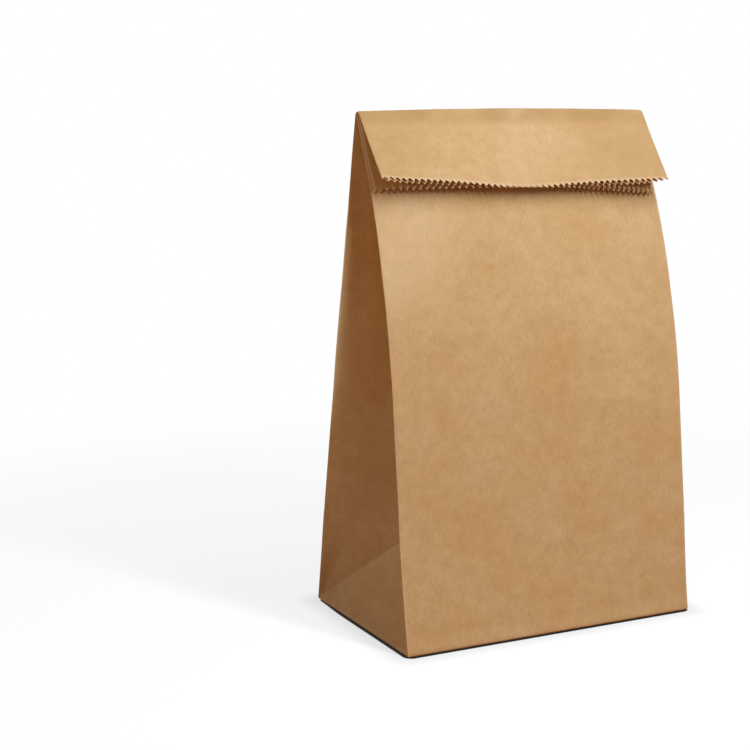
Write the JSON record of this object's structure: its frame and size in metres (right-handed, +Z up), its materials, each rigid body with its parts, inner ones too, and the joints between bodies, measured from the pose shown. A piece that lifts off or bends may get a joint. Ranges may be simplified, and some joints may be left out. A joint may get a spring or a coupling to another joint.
{
  "type": "paper grocery bag",
  "caption": "Square-bottomed kraft paper grocery bag standing upright, with V-folded side gussets and a saw-toothed mouth folded over to the front.",
  "frame": {"origin": "middle of the base, on the surface that the bag stands on", "axes": "+Z up towards the folded crest, +X across the front panel, -Y out of the front panel, to which the mouth is folded over"},
  "size_m": [0.1527, 0.0954, 0.239],
  "materials": {
    "kraft_paper": "matte uncoated brown kraft paper"
  },
  "bodies": {
    "root": {"paper_bag": "kraft_paper"}
  },
  "joints": []
}
